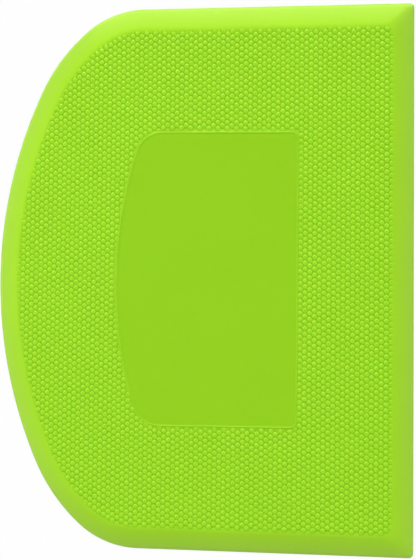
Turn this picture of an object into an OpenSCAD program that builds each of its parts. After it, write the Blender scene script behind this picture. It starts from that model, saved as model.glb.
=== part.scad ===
// Bowl scraper: one flexible moulding with a straight edge, a bowed edge and a grip face.
// It lies face up. The straight edge is at +X, the bowed edge at -X and Z is the thickness.

/* [Outline] */
// Length of the straight scraping edge
plate_length = 120; // [96:0.5:150]
// Depth from the straight edge to the middle of the bowed edge
plate_depth = 90.7; // [72:0.1:115]
// Radius of the bowed scraping edge
bow_radius = 100; // [80:1:130]
// Radius of the shoulder between the bow and each large corner
shoulder_radius = 40; // [30:1:50]
// Angle that each shoulder turns through
shoulder_turn = 24; // [12:0.5:30]
// Radius of the two large corners
corner_radius = 20; // [14:0.5:26]
// Angle at which each long side leans in towards the bow
side_lean = 0.75; // [0:0.05:3]
// Radius of the two small corners at the straight edge
tip_radius = 1; // [0.5:0.1:3]

/* [Edge] */
// Thickness from the back to the smooth panel
plate_thickness = 2.4; // [1.9:0.1:3.5]
// Width of the border that slopes down to the straight edge and to the bow
border_width = 4.4; // [3.2:0.1:6]
// Width of the same border along the two long sides
side_width = 4.95; // [3.2:0.05:6.4]
// Distance of the raised face's middle from the plate's middle, towards the straight edge
face_setback = -0.2; // [-0.8:0.05:0.8]
// Distance of the raised face's middle from the plate's middle, along the straight edge
face_shift = -0.35; // [-0.8:0.05:0.8]
// Radius of the border's slight bulge, seen in section
border_radius = 36; // [12:1:60]
// Radius of the rounded nose at the edge
nose_radius = 0.9; // [0.5:0.05:1.1]
// Radius between the nose and the back
back_radius = 0.4; // [0.2:0.05:0.6]
// Radius of the raised face's two small corners, where the borders meet
face_corner_radius = 2; // [0.6:0.1:3]

/* [Grip field] */
// Height of the grip dots above the smooth panel
grip_height = 0.2; // [0.15:0.05:0.4]

/* [Smooth panel] */
// Length of the panel along the straight edge
panel_length = 64.2; // [50:0.1:76]
// Depth of the panel from its straight side to the middle of its bow
panel_depth = 39.7; // [30:0.1:48]
// Distance from the straight edge to the panel
panel_setback = 24.9; // [18:0.1:32]
// Distance of the panel's middle from the plate's middle, along the straight edge
panel_shift = -0.65; // [-2:0.05:2]
// Radius of the panel's bowed side
panel_bow_radius = 95; // [70:1:130]
// Radius of the panel's two corners at its bow
panel_corner_radius = 6; // [3:0.5:9]
// Radius of the panel's two corners at its straight side
panel_tip_radius = 1.5; // [0.5:0.1:3]
// Width of the fine raised line around the panel
bead_width = 0.3; // [0.2:0.05:0.6]
// Height of that line above the panel, lower than the dots
bead_height = 0.1; // [0.04:0.02:0.12]

/* [Hidden] */

// Most degrees of arc between two points of an outline, by the size of the arc
wide_step = 3;
corner_step = 5.5;
tip_step = 23;
// Most degrees of slope between two rings of the edge, round the nose and over the border
nose_step = 17;
border_step = 3.5;
// Overlap that joins the grip field and the bead to the plate
overlap = 0.1;
// Clear strip left between the border and the grip field
field_gap = 0.05;

function unit(angle) = [cos(angle), sin(angle)];
function steps(turn, step) = max(1, ceil(turn / step - 0.001));

// Points of an arc from one angle to another, without its last point
function arc(centre, radius, from, to, step) =
    let (n = steps(abs(to - from), step))
    [for (i = [0:n - 1]) centre + radius * unit(from + (to - from) * i / n)];

// Where each place stands in the list that d_shape gives
HALF_DEPTH = 0;
LEAN = 1;
SIDE_LINE = 2;
BOW_CENTRE = 3;
SHOULDER_CENTRE = 4;
CORNER_CENTRE = 5;
BOW_END = 6;
SHOULDER_END = 7;

// The places that the arcs of a D shape need. Each end is an angle at an arc's centre, and
// the side line is its distance from the middle
function d_shape(length, depth, bow, shoulder, turn, corner, lean, tip) =
    let (
        half = depth / 2,
        normal = unit(90 + lean),
        along = unit(lean),
        side = normal * [half - tip, length / 2 - tip] + tip,
        bow_centre = [bow - half, 0],
        reach = sqrt((bow - shoulder) ^ 2 + (shoulder - corner) ^ 2
                     + 2 * (bow - shoulder) * (shoulder - corner) * cos(turn)),
        rise = side - corner - normal * bow_centre,
        corner_centre = bow_centre + rise * normal - sqrt(reach ^ 2 - rise ^ 2) * along,
        bearing = atan2(corner_centre.y, corner_centre.x - bow_centre.x),
        bow_end = bearing + asin((shoulder - corner) * sin(turn) / reach),
        shoulder_centre = bow_centre + (bow - shoulder) * unit(bow_end)
    )
    [half, lean, side, bow_centre, shoulder_centre, corner_centre, bow_end, bow_end - turn];

// The centre of a small corner's arc: as far in from the straight edge as from the side line
function tip_centre(shape, inset) =
    let (x = shape[HALF_DEPTH] - inset, normal = unit(90 + shape[LEAN]))
    [x, (shape[SIDE_LINE] - inset - normal.x * x) / normal.y];

// The upper half of a D shape drawn in by inset, from the straight edge round to the bow. The
// small corner's radius is the one it has at this inset
function upper_half(shape, bow, shoulder, corner, tip, inset) =
    let (
        centre = tip_centre(shape, inset + tip),
        side_angle = 90 + shape[LEAN]
    )
    concat(
        arc(centre, tip, 0, side_angle, tip_step),
        [centre + tip * unit(side_angle)],
        arc(shape[CORNER_CENTRE], corner - inset, side_angle, shape[SHOULDER_END], corner_step),
        arc(shape[SHOULDER_CENTRE], shoulder - inset, shape[SHOULDER_END], shape[BOW_END], wide_step),
        arc(shape[BOW_CENTRE], bow - inset, shape[BOW_END], 180, wide_step)
    );

// The whole outline: the upper half, the middle of the bow and the upper half mirrored
function whole(half, bow_middle) =
    concat(half, [bow_middle], [for (i = [len(half) - 1:-1:0]) [half[i].x, -half[i].y]]);

plate_shape = d_shape(plate_length, plate_depth, bow_radius, shoulder_radius,
                      shoulder_turn, corner_radius, side_lean, tip_radius);

// How much nearer to the middle the border's inner line lies along the long sides, as a share
side_draw = (side_width - border_width) / (plate_length / 2 - border_width);

// A point that lies inset from the edge, moved so that the border ends at the face's own outline
function on_border(p, inset) =
    let (share = inset / border_width)
    [p.x + face_setback * share, p.y * (1 - side_draw * share) + face_shift * share];

function plate_outline(inset) =
    let (
        tip = tip_radius + (face_corner_radius - tip_radius) * inset / border_width,
        half = upper_half(plate_shape, bow_radius, shoulder_radius, corner_radius, tip, inset)
    )
    [for (p = whole(half, [inset - plate_depth / 2, 0])) on_border(p, inset)];

// The panel's bow runs straight into its corners, so it has a shoulder that turns through nothing
panel_shape = d_shape(panel_length, panel_depth, panel_bow_radius, panel_corner_radius,
                      0, panel_corner_radius, 0, panel_tip_radius);
panel_place = [(plate_depth - panel_depth) / 2 - panel_setback, panel_shift];

function panel_half(inset) =
    let (centre = tip_centre(panel_shape, panel_tip_radius))
    concat(
        arc(centre, panel_tip_radius - inset, 0, 90, tip_step),
        [centre + (panel_tip_radius - inset) * unit(90)],
        arc(panel_shape[CORNER_CENTRE], panel_corner_radius - inset, 90, panel_shape[BOW_END], corner_step),
        arc(panel_shape[BOW_CENTRE], panel_bow_radius - inset, panel_shape[BOW_END], 180, wide_step)
    );

function panel_outline(inset) =
    [for (p = whole(panel_half(inset), [inset - panel_depth / 2, 0])) p + panel_place];

// The edge in section, as [distance in from the edge, height]: the border is one arc that
// starts at the grip field and runs smoothly into the nose
nose_centre = [nose_radius, back_radius];
border_start = [border_width, plate_thickness];
run = border_start - nose_centre;
run_turn = acos((run * run + border_radius ^ 2 - (border_radius - nose_radius) ^ 2)
                / (2 * norm(run) * border_radius));
border_slope = atan2(run.y, run.x) + run_turn - 90;
border_centre = border_start + border_radius * [sin(border_slope), -cos(border_slope)];
nose_slope = atan2(border_centre.x - nose_centre.x, nose_centre.y - border_centre.y);

// Points of an arc of the section from one slope to another, without its last point
function slope_arc(centre, radius, from, to, step) =
    let (n = steps(abs(to - from), step))
    [for (i = [0:n - 1]) centre + radius * unit(90 + from + (to - from) * i / n)];

edge_section = concat(
    slope_arc([back_radius, back_radius], back_radius, 180, 90, nose_step),
    slope_arc(nose_centre, nose_radius, 90, nose_slope, nose_step),
    slope_arc(border_centre, border_radius, nose_slope, border_slope, border_step),
    [border_start]
);

// The plate without its grip field: one ring of points for each step of the edge section
module plate_body() {
    rings = [for (s = edge_section) [for (p = plate_outline(s[0])) [p.x, p.y, s[1]]]];
    n = len(rings[0]);
    top = n * (len(rings) - 1);
    walls = [
        for (k = [0:len(rings) - 2], i = [0:n - 1])
        let (a = k * n + i, b = k * n + (i + 1) % n)
        each [[a, a + n, b + n], [a, b + n, b]]
    ];
    polyhedron(
        points = [for (ring = rings) each ring],
        faces = concat(walls, [[for (i = [0:n - 1]) i]], [[for (i = [n - 1:-1:0]) top + i]])
    );
}

// The grip field up to the tops of its dots, open over the smooth panel
module grip_field() {
    translate([0, 0, plate_thickness - overlap])
        linear_extrude(grip_height + overlap)
            difference() {
                polygon(plate_outline(border_width + field_gap));
                polygon(panel_outline(0));
            }
}

// The fine line that the edge of the mould's panel insert leaves
module panel_bead() {
    translate([0, 0, plate_thickness - overlap])
        linear_extrude(bead_height + overlap)
            difference() {
                polygon(panel_outline(-overlap));
                polygon(panel_outline(bead_width));
            }
}

module scraper() {
    color("yellowgreen") {
        plate_body();
        grip_field();
        panel_bead();
    }
}

scraper();
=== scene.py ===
"""A bowl scraper of lime-green polypropylene, lying dotted face up on a white sheet."""

import bpy
import numpy as np
from mathutils import Matrix, Vector
from mathutils.geometry import delaunay_2d_cdt


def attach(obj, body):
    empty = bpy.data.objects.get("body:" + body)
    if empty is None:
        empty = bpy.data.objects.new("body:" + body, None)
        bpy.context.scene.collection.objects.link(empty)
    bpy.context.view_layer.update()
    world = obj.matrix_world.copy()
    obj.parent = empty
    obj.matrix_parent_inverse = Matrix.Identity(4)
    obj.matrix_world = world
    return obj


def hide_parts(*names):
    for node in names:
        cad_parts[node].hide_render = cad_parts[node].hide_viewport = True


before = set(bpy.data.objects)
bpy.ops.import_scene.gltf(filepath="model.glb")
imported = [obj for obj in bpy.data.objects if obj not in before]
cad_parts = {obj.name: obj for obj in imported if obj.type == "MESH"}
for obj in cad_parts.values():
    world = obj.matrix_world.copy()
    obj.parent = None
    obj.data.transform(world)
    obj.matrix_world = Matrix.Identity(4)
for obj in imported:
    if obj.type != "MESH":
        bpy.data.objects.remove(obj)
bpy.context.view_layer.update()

# The camera
# It looks almost straight down from about 28 cm, a little to the right of the plate and
# a little towards its lower end, which is what the slight keystone of the outline asks for.

CAMERA_PLACE = (0.02432, -0.01780, 0.28302)
CAMERA_RIGHT = (0.99654, 0.01165, -0.08227)
CAMERA_UP = (-0.00669, 0.99816, 0.06032)
CAMERA_BACK = (0.08282, -0.05956, 0.99478)
SENSOR_HEIGHT = 24
IMAGE_HEIGHT, FOCAL_LENGTH = 560, 1300  # both in pixels


def stand(name, data):
    """A new object of the scene, made from its camera, mesh or lamp."""
    made = bpy.data.objects.new(name, data)
    bpy.context.collection.objects.link(made)
    return made


camera_data = bpy.data.cameras.new("camera")
camera_data.sensor_fit = "VERTICAL"
camera_data.sensor_height = SENSOR_HEIGHT
camera_data.lens = SENSOR_HEIGHT * FOCAL_LENGTH / IMAGE_HEIGHT
camera = stand("camera", camera_data)
turned = Matrix((CAMERA_RIGHT, CAMERA_UP, CAMERA_BACK)).transposed()
camera.matrix_world = Matrix.Translation(CAMERA_PLACE) @ turned.to_4x4()
bpy.context.scene.camera = camera
bpy.context.scene.view_settings.view_transform = "Standard"

# The scraper
# One flexible injection moulding. The outline and the tapered border are cut into the
# mould, the dots are a texture in its floor, and a smooth insert leaves the panel and the
# fine line round it. Sizes are in millimetres and go to metres when the mesh is made.

MM = 0.001
LENGTH, DEPTH = 120.0, 90.7
BOW_RADIUS, SHOULDER_RADIUS, CORNER_RADIUS, TIP_RADIUS = 100.0, 40.0, 20.0, 1.0
SHOULDER_TURN, SIDE_LEAN, FACE_CORNER_RADIUS = 24.0, 0.75, 2.0
THICKNESS, NOSE_RADIUS, BACK_RADIUS = 2.4, 0.9, 0.4
BORDER_WIDTH, SIDE_WIDTH, BORDER_RADIUS = 4.4, 4.95, 36.0
FACE_MIDDLE = (-0.2, -0.35)
# Space between the mesh's points along the outline, and points round each small corner
OUTLINE_PITCH, TIP_POINTS = 0.8, 6


def towards(degrees):
    """The unit vector at an angle, or one for each of a row of angles."""
    turn = np.radians(degrees)
    return np.stack([np.cos(turn), np.sin(turn)], -1)


class DShape:
    """A D outline of tangent arcs. Each ring of it starts in the middle of the straight
    edge and has the same number of points, whatever its distance in from the outline. The
    two small corners change their radius with that distance, by the growth."""

    def __init__(self, length, depth, bow, shoulder, turn, corner, lean, tip, growth, middle):
        self.half, self.lean, self.middle = depth / 2, lean, np.array(middle)
        self.tip, self.growth = tip, growth
        self.normal, along = towards(90 + lean), towards(lean)
        self.side = self.normal @ (depth / 2 - tip, length / 2 - tip) + tip
        bow_centre = np.array((bow - depth / 2, 0.0))
        gap, drop = bow - shoulder, shoulder - corner
        reach = np.sqrt(gap**2 + drop**2 + 2 * gap * drop * np.cos(np.radians(turn)))
        rise = self.side - corner - self.normal @ bow_centre
        corner_centre = bow_centre + rise * self.normal - np.sqrt(reach**2 - rise**2) * along
        away = corner_centre - bow_centre
        swing = np.arcsin(drop * np.sin(np.radians(turn)) / reach)
        bow_end = np.degrees(np.arctan2(away[1], away[0]) + swing)
        shoulder_centre = bow_centre + gap * towards(bow_end)
        self.arcs = [
            (corner_centre, corner, 90 + lean, bow_end - turn),
            (shoulder_centre, shoulder, bow_end - turn, bow_end),
            (bow_centre, bow, bow_end, 180.0),
        ]

    def ring(self, inset):
        """Points of the outline drawn in by inset."""
        inner = inset + self.tip + self.growth * inset
        x = self.half - inner
        tip_centre = np.array((x, (self.side - inner - self.normal[0] * x) / self.normal[1]))
        here, points = np.array((self.half - inset, 0.0)), []
        straight = round(self.side / OUTLINE_PITCH), round(self.half / OUTLINE_PITCH), 0, 0
        arcs = [(tip_centre, inner, 0.0, 90 + self.lean)] + self.arcs
        for k, (centre, radius, start, end) in enumerate(arcs):
            corner = centre + (radius - inset) * towards(start)
            share = np.arange(straight[k])[:, None] / max(straight[k], 1)
            points.append(here + share * (corner - here))
            count = round(radius * np.radians(end - start) / OUTLINE_PITCH) if k else TIP_POINTS
            turns = start + (end - start) * np.arange(count) / max(count, 1)
            points.append(centre + (radius - inset) * towards(turns))
            here = centre + (radius - inset) * towards(end)
        half = np.concatenate([*points, [here]])
        return np.concatenate([half, half[-2:0:-1] * (1, -1)]) + self.middle


plate = DShape(
    LENGTH, DEPTH, BOW_RADIUS, SHOULDER_RADIUS, SHOULDER_TURN, CORNER_RADIUS, SIDE_LEAN,
    TIP_RADIUS, (FACE_CORNER_RADIUS - TIP_RADIUS) / BORDER_WIDTH, (0, 0),
)  # fmt: skip


def edge_ring(inset):
    """The plate's outline drawn in by inset, moved so that the border ends at the outline of
    the raised face, which is off the plate's middle and further in along the long sides."""
    share = inset / BORDER_WIDTH
    draw = (SIDE_WIDTH - BORDER_WIDTH) / (LENGTH / 2 - BORDER_WIDTH)
    return plate.ring(inset) * (1, 1 - draw * share) + np.array(FACE_MIDDLE) * share


# The edge in section: back fillet, nose and border are tangent arcs. A slope of 180 faces
# down, 90 faces out and 0 faces up. One more ring on the back keeps it shaded flat.
BACK_RIM = 1.2
BACK_POINTS, NOSE_POINTS, BORDER_POINTS = 6, 9, 7
border_start = np.array((BORDER_WIDTH, THICKNESS))
nose_centre = np.array((NOSE_RADIUS, BACK_RADIUS))
run = border_start - nose_centre
bulge = (run @ run + BORDER_RADIUS**2 - (BORDER_RADIUS - NOSE_RADIUS) ** 2) / (
    2 * np.hypot(*run) * BORDER_RADIUS
)
border_slope = np.degrees(np.arctan2(run[1], run[0]) + np.arccos(bulge)) - 90
border_centre = border_start - BORDER_RADIUS * towards(90 + border_slope)
nose_slope = np.degrees(
    np.arctan2(border_centre[0] - nose_centre[0], nose_centre[1] - border_centre[1])
)
section = [np.array((BACK_RIM, 0.0))]
for centre, radius, slopes in (
    ((BACK_RADIUS, BACK_RADIUS), BACK_RADIUS, np.linspace(180, 90, BACK_POINTS)[:-1]),
    (nose_centre, NOSE_RADIUS, np.linspace(90, nose_slope, NOSE_POINTS)[:-1]),
    (border_centre, BORDER_RADIUS, np.linspace(nose_slope, border_slope, BORDER_POINTS)),
):
    section += [centre + radius * towards(90 + slope) for slope in slopes]

# The smooth panel's bow runs straight into its two large corners.
PANEL_LENGTH, PANEL_DEPTH, PANEL_SETBACK, PANEL_SHIFT = 64.2, 39.7, 24.9, -0.65
PANEL_BOW_RADIUS, PANEL_CORNER_RADIUS, PANEL_TIP_RADIUS = 95.0, 6.0, 1.5
BEAD_WIDTH, BEAD_HEIGHT = 0.3, 0.08
# Each ring of the fine line: its share of the width, in from the outline, and of the height
BEAD_RINGS = ((0, 0), (0.2, 0.8), (0.45, 1), (0.7, 0.65), (0.85, 0.3), (1, 0), (2, 0))
panel = DShape(
    PANEL_LENGTH, PANEL_DEPTH, PANEL_BOW_RADIUS, PANEL_CORNER_RADIUS, 0,
    PANEL_CORNER_RADIUS, 0, PANEL_TIP_RADIUS, -1,
    ((DEPTH - PANEL_DEPTH) / 2 - PANEL_SETBACK, PANEL_SHIFT),
)  # fmt: skip


def depth_in(points, ring):
    """How far each point lies inside a closed ring of points, worked out batch by batch."""
    batch = 4000
    ends = np.roll(ring, -1, 0)
    along = ends - ring
    depth = np.empty(len(points))
    for first in range(0, len(points), batch):
        p = points[first : first + batch, None]
        share = ((p - ring) * along).sum(2) / (along**2).sum(1)
        near = ring + share.clip(0, 1)[..., None] * along
        gaps = np.hypot(*(near - p).transpose(2, 0, 1)).min(1)
        crosses = (ring[:, 1] > p[..., 1]) != (ends[:, 1] > p[..., 1])
        tall = np.where(along[:, 1] == 0, 1, along[:, 1])
        right = ring[:, 0] + along[:, 0] * (p[..., 1] - ring[:, 1]) / tall > p[..., 0]
        depth[first : first + batch] = gaps * ((crosses & right).sum(1) % 2 * 2 - 1)
    return depth


# The grip dots are low round bumps in staggered columns. Their rows slant a little and both
# pitches grow slightly, towards the straight edge and towards the upper end. Dots that would
# reach over the field's outlines are smaller and lower.
MIDDLE_DOT = (-1.26, -0.03)
COLUMNS, HALF_ROWS = np.arange(-44, 48), np.arange(-94, 94)
COLUMN_PITCH, ROW_PITCH, ROW_SLANT = 1.0015, 1.283, -0.0142
COLUMN_GROWTH, ROW_GROWTH = 0.00035, 0.00034
DOT_RADIUS, DOT_HEIGHT = 0.53, 0.14
# Each ring of a dot: its share of the radius, its points and their turn, then its height and
# how steeply it falls there. The top is a little sunk, as a dot of an etched mould is.
DOT_RINGS = (
    (0.22, 3, 0.25, 0.9, -0.9),
    (0.5, 5, 0.0, 1.0, 0.9),
    (0.76, 6, 0.5, 0.4, 2.4),
    (1.0, 5, 0.0, 0.0, 0.0),
)
SMALLEST_DOT, DOT_GAP, DOT_SCATTER, LOWEST_SHARE = 0.15, 0.03, 0.02, 0.8

columns, rows = np.meshgrid(COLUMNS, HALF_ROWS, indexing="ij")
staggered = (columns + rows) % 2 == 0
columns, rows = columns[staggered], rows[staggered] / 2
dots = np.stack([
    MIDDLE_DOT[0] + COLUMN_PITCH * columns + COLUMN_GROWTH * columns**2,
    MIDDLE_DOT[1] + ROW_PITCH * rows + ROW_GROWTH * rows**2 + ROW_SLANT * columns,
], -1)  # fmt: skip
face_ring, panel_ring = edge_ring(BORDER_WIDTH), panel.ring(0)
clearance = np.minimum(depth_in(dots, face_ring), -depth_in(dots, panel_ring)) - DOT_GAP
dots, clearance = dots[clearance > SMALLEST_DOT], clearance[clearance > SMALLEST_DOT]
chance = np.random.default_rng(8)
dot_size = np.minimum(clearance / DOT_RADIUS, 1)
dot_share = chance.uniform(LOWEST_SHARE, 1, len(dots)) * dot_size
dots += chance.normal(0, DOT_SCATTER, dots.shape) * (dot_size == 1)[:, None]

cells, normals = [], []
for share, count, turn, rise, fall in DOT_RINGS:
    outward = towards((np.arange(count) + turn) * 360 / count)
    reach = dot_size[:, None, None] * DOT_RADIUS
    ring = (dots[:, None] + share * reach * outward).reshape(-1, 2)
    cells.append(np.c_[ring, THICKNESS + np.repeat(dot_share * rise * DOT_HEIGHT, count)])
    lean = (dot_share[:, None, None] * fall * DOT_HEIGHT / reach * outward).reshape(-1, 2)
    normals.append(np.c_[lean, np.ones(len(ring))])
cells, normals = np.concatenate(cells), np.concatenate(normals)


def raised(ring, height):
    """A flat ring of points at a height."""
    return np.c_[ring, np.full(len(ring), height)]


# The edge is joined ring to ring. The grip field and the panel are one triangulated sheet,
# with the rings of the fine line and a lip beside the border as lines that it keeps.
edge = [raised(edge_ring(inset), height) for inset, height in section]
bead = [
    raised(panel.ring(share * BEAD_WIDTH), THICKNESS + lift * BEAD_HEIGHT)
    for share, lift in BEAD_RINGS
]
lip = raised(edge_ring(BORDER_WIDTH + DOT_GAP / 2), THICKNESS)
around, layers = len(face_ring), len(edge)
here = np.arange(around)
beyond = np.roll(here, -1)
faces = [here[::-1].tolist()]
for low in range(0, around * (layers - 1), around):
    strip = low + here, low + beyond, low + around + beyond, low + around + here
    faces += np.stack(strip, 1).tolist()

INSIDE_ONLY, WELD_DISTANCE = 1, 1e-6
sheet = np.concatenate([edge[-1], *bead, lip, cells])
borders, first = [], 0
for ring in (edge[-1], *bead, lip):
    loop = first + np.arange(len(ring))
    borders += zip(loop.tolist(), np.roll(loop, -1).tolist())
    first += len(ring)
from_above = [Vector(point) for point in sheet[:, :2]]
points, _, triangles, sources, *_ = delaunay_2d_cdt(
    from_above, borders, [], INSIDE_ONLY, WELD_DISTANCE, True
)
if len(points) != len(sheet):
    raise ValueError("two points of the grip field fell together")
triangles = np.array([source[0] for source in sources])[np.array(triangles)]
# Rounding leaves slivers outside the nearly straight long sides, with all three corners on
# the first ring. They are no part of the sheet.
triangles = triangles[(triangles >= around).any(1)]
faces += (triangles + around * (layers - 1)).tolist()
places = np.concatenate([*edge[:-1], sheet])

mesh = bpy.data.meshes.new("scraper_moulding")
mesh.from_pydata((places * MM).tolist(), [], faces)
mesh.polygons.foreach_set("use_smooth", [True] * len(mesh.polygons))
# The dots have their own normals, and the face is level up to the lip. Zeros leave the other
# points' normals to Blender.
plain = len(places) - len(cells)
normals = np.r_[np.tile((0, 0, 1), (around, 1)), normals]
normals /= np.linalg.norm(normals, axis=1, keepdims=True)
normals = np.r_[np.zeros((plain - around, 3)), normals]
mesh.normals_split_custom_set_from_vertices(normals.tolist())
place = np.arange(len(places))
on_border = (place < around * layers) | (place >= plain - around) & (place < plain)
for name, chosen in (("dotted", place >= plain), ("border", on_border)):
    attribute = mesh.attributes.new(name, "FLOAT", "POINT")
    attribute.data.foreach_set("value", chosen.astype(float))
mesh.validate()
mesh.update()
scraper = stand("scraper_moulding", mesh)

# The bake's map shows the plate from above on its left half and from below on its right.
MAP_SIDE, MAP_SHIFT = 200.0, 0.25
spots, totals = np.empty(len(mesh.loops), int), np.empty(len(mesh.polygons), int)
upright = np.empty(len(mesh.polygons) * 3)
mesh.loops.foreach_get("vertex_index", spots)
mesh.polygons.foreach_get("loop_total", totals)
mesh.polygons.foreach_get("normal", upright)
below = np.repeat(upright[2::3] < 0, totals)
flat = places[spots, :2] / MAP_SIDE + 0.5
flat[:, 0] += np.where(below, MAP_SHIFT, -MAP_SHIFT)
mesh.uv_layers.new(name="OFBake").uv.foreach_set("vector", flat.ravel())


class Wire:
    """An output socket of a node tree. A sum written with it adds the Math nodes for it."""

    def __init__(self, tree, socket=None):
        self.tree, self.socket = tree, socket

    def node(self, kind, settings=None, inputs=None, output=0):
        """A node with its settings, then its input values or wires, and one of its outputs."""
        made = self.tree.nodes.new(kind)
        for name, value in (settings or {}).items():
            setattr(made, name, value)
        for name, value in (inputs or {}).items():
            if isinstance(value, Wire):
                self.tree.links.new(value.socket, made.inputs[name])
            else:
                made.inputs[name].default_value = value
        return Wire(self.tree, made.outputs[output] if len(made.outputs) else None)

    def mix(self, factor, one, other):
        """One colour mixed with another."""
        inputs = {"Factor": factor, 6: one, 7: other}
        return self.node("ShaderNodeMix", {"data_type": "RGBA"}, inputs, 2)

    def sum(self, operation, one, other):
        return self.node("ShaderNodeMath", {"operation": operation}, {0: one, 1: other})

    def __add__(self, other):
        return self.sum("ADD", self, other)

    def __mul__(self, other):
        return self.sum("MULTIPLY", self, other)

    def __sub__(self, other):
        return self.sum("SUBTRACT", self, other)

    def __rsub__(self, other):
        return self.sum("SUBTRACT", other, self)

    __radd__, __rmul__ = __add__, __mul__


def bare(owner):
    """The first wire of a material or a world, whose own nodes are cleared away."""
    owner.use_nodes = True
    owner.node_tree.nodes.clear()
    return Wire(owner.node_tree)


# Full colour on the panel. The border is painted lighter and yellower, as painted light, with a
# bluer tinge as a painted reflection, and paler still where it thins out, as painted light of
# the white sheet showing through. The dots are painted paler round their shoulders, as a
# painted highlight, and darker in the hollows between them, as painted shade.
FULL_LIME = (0.303, 0.61, 0.016, 1)
BORDER_LIGHT_LIME = (0.364, 0.67, 0.026, 1)
EDGE_GLOW_LIME = (0.366, 0.61, 0.076, 1)
DOT_HIGHLIGHT_LIME = (0.366, 0.71, 0.032, 1)
HOLLOW_SHADE_LIME = (0.262, 0.555, 0.013, 1)
# Heights in metres between which the border turns from full to thin, and from its painted light
# to the thin edge's painted glow
FULL_HEIGHT, THIN_HEIGHT = 0.0023, 0.0009
# Distances in millimetres from a dot's middle over which its painted highlight comes in, and
# over which the painted shade of the hollow beside it comes in. The sunk top has a share of the
# painted highlight, so its middle is painted darker than its shoulder.
HIGHLIGHT_SPAN, SHADE_SPAN, TOP_SHARE = (0.05, 0.35), (0.43, 0.57), 0.2
# Clouds about 1.5 cm wide shade the colour and the gloss, and a fine grain dulls it too.
CLOUD_SCALE, CLOUD_SHADE, CLOUD_DULLING = 70.0, 0.05, 0.05
GRAIN_SCALE, GRAIN_DULLING, GRAIN_DEPTH = 3000.0, 0.03, 0.00001
GLOSSIEST = 0.255
GLOSS_TINT = (0.68, 1, 0.16, 1)

plastic = bpy.data.materials.new("lime_polypropylene")
wire = bare(plastic)
spot = wire.node("ShaderNodeTexCoord", output="Object")
across, along, height = (
    wire.node("ShaderNodeSeparateXYZ", {}, {"Vector": spot}, axis) for axis in "XYZ"
)
thin = wire.node(
    "ShaderNodeMapRange",
    {},
    {"Value": height, "From Min": FULL_HEIGHT, "From Max": THIN_HEIGHT},
)
dotted, border = (
    wire.node("ShaderNodeAttribute", {"attribute_name": name}, {}, "Fac")
    for name in ("dotted", "border")
)
# The border's colour is painted light with a painted reflection, and the thin edge's paler
# colour is painted light of the sheet showing through, also with a painted reflection.
colour = wire.mix(thin, wire.mix(border, FULL_LIME, BORDER_LIGHT_LIME), EDGE_GLOW_LIME)
# The distance in millimetres from the middle of the nearest dot
x, y = across * (1 / MM) - MIDDLE_DOT[0], along * (1 / MM) - MIDDLE_DOT[1]
column = x * (1 / COLUMN_PITCH)
column = column - column * column * (COLUMN_GROWTH / COLUMN_PITCH)
row = (y - column * ROW_SLANT) * (1 / ROW_PITCH)
row = row - row * row * (ROW_GROWTH / ROW_PITCH)
rising, falling = (
    wire.node("ShaderNodeMath", {"operation": "WRAP"}, {0: steps, 1: 0.5, 2: -0.5})
    for steps in (column * 0.5 + row, column * 0.5 - row)
)
x, y = (rising + falling) * COLUMN_PITCH, (rising - falling) * (ROW_PITCH / 2)
away = wire.sum("POWER", x * x + y * y, 0.5)
shoulder, hollow_shade = (
    wire.node(
        "ShaderNodeMapRange",
        {"interpolation_type": "SMOOTHSTEP"},
        {"Value": away, "From Min": start, "From Max": end},
    )
    for start, end in (HIGHLIGHT_SPAN, SHADE_SPAN)
)
# Paler shoulders on the dots are a painted highlight, with their middles painted darker.
colour = wire.mix(dotted * (TOP_SHARE + (1 - TOP_SHARE) * shoulder), colour, DOT_HIGHLIGHT_LIME)
# Darker hollows between the dots are painted shade.
colour = wire.mix(dotted * hollow_shade, colour, HOLLOW_SHADE_LIME)
cloud, grain = (
    wire.node("ShaderNodeTexNoise", {}, {"Vector": spot, "Scale": scale, "Detail": detail})
    for scale, detail in ((CLOUD_SCALE, 4.0), (GRAIN_SCALE, 2.0))
)
shade = cloud * CLOUD_SHADE + (1 - CLOUD_SHADE / 2)
colour = wire.node("ShaderNodeVectorMath", {"operation": "SCALE"}, {0: colour, "Scale": shade})
bumps = wire.node(
    "ShaderNodeBump", {}, {"Strength": 0.15, "Distance": GRAIN_DEPTH, "Height": grain}
)
surface = wire.node(
    "ShaderNodeBsdfPrincipled",
    {},
    {
        "Base Color": colour,
        "Roughness": GLOSSIEST + cloud * CLOUD_DULLING + grain * GRAIN_DULLING,
        "Normal": bumps,
        "IOR": 1.49,
        "Specular Tint": GLOSS_TINT,
        "Subsurface Weight": 1.0,
        "Subsurface Radius": (1.0, 1.0, 1.0),
        "Subsurface Scale": 0.0009,
    },
)
wire.node("ShaderNodeOutputMaterial", {}, {"Surface": surface})
mesh.materials.append(plastic)

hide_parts("scraper")
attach(scraper, "root")

# The table
# A matt white sheet. The camera sees it as the photo's white ground, with only a breath of
# the scraper's own shadow left on it.

TABLE_REACH, WHITE_SHARE = 1.5, 0.98
PAPER_GREY = (0.5, 0.5, 0.5, 1)

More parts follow.
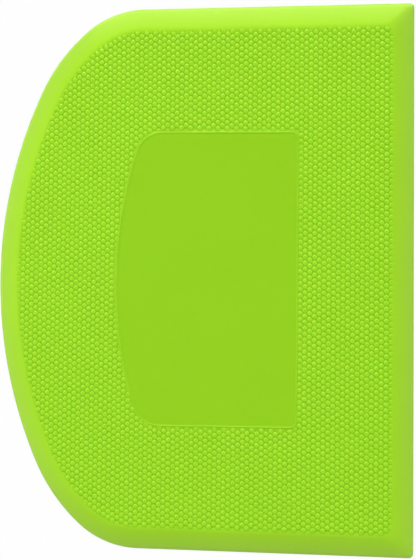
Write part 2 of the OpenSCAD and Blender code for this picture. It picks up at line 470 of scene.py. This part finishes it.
table_mesh = bpy.data.meshes.new("table")
near, far = -TABLE_REACH, TABLE_REACH
corners = [(near, near, 0), (far, near, 0), (far, far, 0), (near, far, 0)]
table_mesh.from_pydata(corners, [], [(0, 1, 2, 3)])
table = stand("table", table_mesh)
paper = bpy.data.materials.new("white_sheet")
wire = bare(paper)
seen = sum(
    wire.node("ShaderNodeLightPath", output=ray)
    for ray in ("Is Camera Ray", "Is Glossy Ray", "Is Transmission Ray")
)
matt = wire.node("ShaderNodeBsdfDiffuse", {}, {"Color": PAPER_GREY})
glow = wire.node("ShaderNodeEmission", {}, {"Color": (1, 1, 1, 1), "Strength": 1.0})
mixed = wire.node("ShaderNodeMixShader", {}, {0: seen * WHITE_SHARE, 1: matt, 2: glow})
wire.node("ShaderNodeOutputMaterial", {}, {"Surface": mixed})
table_mesh.materials.append(paper)

# The lights
# A wide soft box, a little yellow, stands low beyond the plate's upper end, and a weak
# lamp hangs at its left. The pale room round them is dimmer overhead than at its walls, and
# brighter at the left and at the lower end than at the right and the upper end.

KEY_TOWARDS, KEY_DISTANCE = Vector((0.0, 0.85, 0.53)).normalized(), 6.0
KEY_SIZE, KEY_POWER, KEY_COLOUR = (6.4, 3.4), 392.0, (1.0, 1.0, 0.86)
FILL_PLACE, FILL_SIZE, FILL_POWER = Vector((-0.45, 0.0, 0.35)), (0.6, 0.6), 0.85
WHITE = (1.0, 1.0, 1.0)
ROOM_OVERHEAD, ROOM_WALLS, ROOM_LEFT, ROOM_UPPER = 0.29, 0.56, 0.13, -0.1

for name, place, size, power, tint in (
    ("key", KEY_TOWARDS * KEY_DISTANCE, KEY_SIZE, KEY_POWER, KEY_COLOUR),
    ("fill", FILL_PLACE, FILL_SIZE, FILL_POWER, WHITE),
):
    lamp_data = bpy.data.lights.new(name, "AREA")
    lamp_data.shape = "RECTANGLE"
    lamp_data.size, lamp_data.size_y = size
    lamp_data.energy, lamp_data.color = power, tint
    lamp = stand(name, lamp_data)
    lamp.location = place
    lamp.rotation_euler = place.to_track_quat("Z", "Y").to_euler()

room = bpy.data.worlds.new("room")
wire = bare(room)
way = wire.node("ShaderNodeTexCoord", output="Generated")
right, upper, up = (
    wire.node("ShaderNodeSeparateXYZ", {}, {"Vector": way}, axis) for axis in "XYZ"
)
level = ROOM_OVERHEAD + ROOM_WALLS * (1 - up * up) - ROOM_LEFT * right + ROOM_UPPER * upper
light, white = (
    wire.node("ShaderNodeBackground", {}, {"Color": (*WHITE, 1), "Strength": strength})
    for strength in (level, 1.0)
)
camera_ray = wire.node("ShaderNodeLightPath", output="Is Camera Ray")
mixed = wire.node("ShaderNodeMixShader", {}, {0: camera_ray, 1: light, 2: white})
wire.node("ShaderNodeOutputWorld", {}, {"Surface": mixed})
bpy.context.scene.world = room
